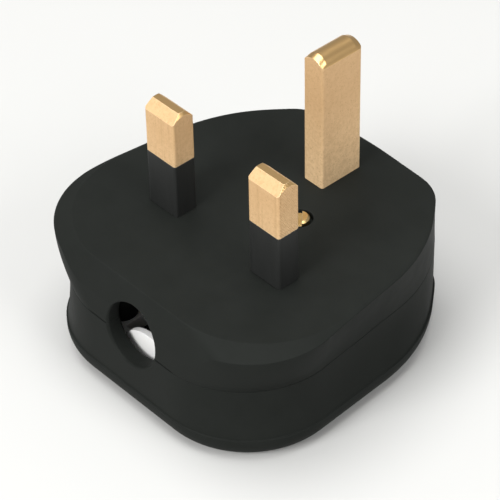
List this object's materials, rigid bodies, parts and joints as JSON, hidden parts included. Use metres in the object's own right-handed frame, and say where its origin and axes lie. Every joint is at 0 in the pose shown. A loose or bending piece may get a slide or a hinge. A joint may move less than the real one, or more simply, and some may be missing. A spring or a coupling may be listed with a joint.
{
  "type": "mains plug",
  "caption": "British rewireable mains plug with flat brass pins, sleeved live and neutral, a waisted black body in base and cover, a fuse inside and a round cord entry.",
  "frame": {"origin": "middle of the flat back, which the plug lies on with its pins up", "axes": "+Z along the pins, +Y from the cord entry to the earth pin, +X towards the neutral pin"},
  "size_m": [0.0524, 0.0518, 0.0457],
  "materials": {
    "black_moulding": "satin moulded",
    "sleeve_black": "smooth moulded",
    "brass": "brushed",
    "white_nylon": "moulded",
    "spring_bronze": "rolled",
    "ceramic": "glazed",
    "nickel_plate": "plated",
    "zinc_steel": "plated"
  },
  "bodies": {
    "root": {"base": "black_moulding", "cover": "black_moulding", "earth_pin": "brass", "neutral_pin": "brass", "live_pin": "brass", "neutral_sleeve": "sleeve_black", "live_sleeve": "sleeve_black", "cover_screw": "brass", "cover_screw_retainer": "white_nylon", "cover_insert": "brass", "load_terminal": "brass", "live_fuse_clip": "spring_bronze", "load_fuse_clip": "spring_bronze", "clip_rivets": "brass", "fuse_tube": "ceramic", "fuse_caps": "nickel_plate", "terminal_screws": "zinc_steel", "terminal_washers": "zinc_steel", "cord_grip": "white_nylon", "cord_grip_screws": "zinc_steel"}
  },
  "joints": []
}
